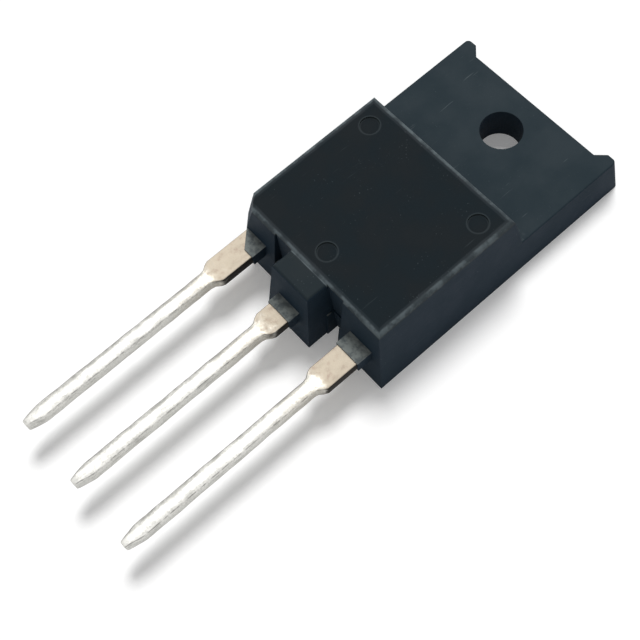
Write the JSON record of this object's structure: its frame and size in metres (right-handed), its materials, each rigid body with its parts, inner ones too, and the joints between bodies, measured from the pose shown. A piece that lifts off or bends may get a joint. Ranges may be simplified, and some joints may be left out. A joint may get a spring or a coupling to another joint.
{
  "type": "power transistor",
  "caption": "Through-hole power transistor: flat dark resin body with a thinner tab, a screw hole, and flat tinned leads in a row at one end.",
  "frame": {"origin": "centre of the mounting hole at the mounting face", "axes": "+Z out of the front face, leads towards -Y, +X to the right seen from the front with the leads down; base lead at -X, emitter lead at +X"},
  "size_m": [0.0156, 0.0426, 0.0058],
  "materials": {
    "epoxy": "matte moulded epoxy",
    "tinned_copper_collector": "copper with a dull tin coat",
    "tinned_copper_base": "copper with a dull tin coat",
    "tinned_copper_emitter": "copper with a dull tin coat",
    "solder": "dull solder",
    "silicon": "polished silicon",
    "wire_aluminium": "drawn aluminium"
  },
  "bodies": {
    "root": {"moulded_body": "epoxy", "collector_frame": "tinned_copper_collector", "base_lead": "tinned_copper_base", "emitter_lead": "tinned_copper_emitter", "die_solder": "solder", "transistor_die": "silicon", "emitter_wire_inner": "wire_aluminium", "emitter_wire_outer": "wire_aluminium", "base_wire": "wire_aluminium"}
  },
  "joints": []
}
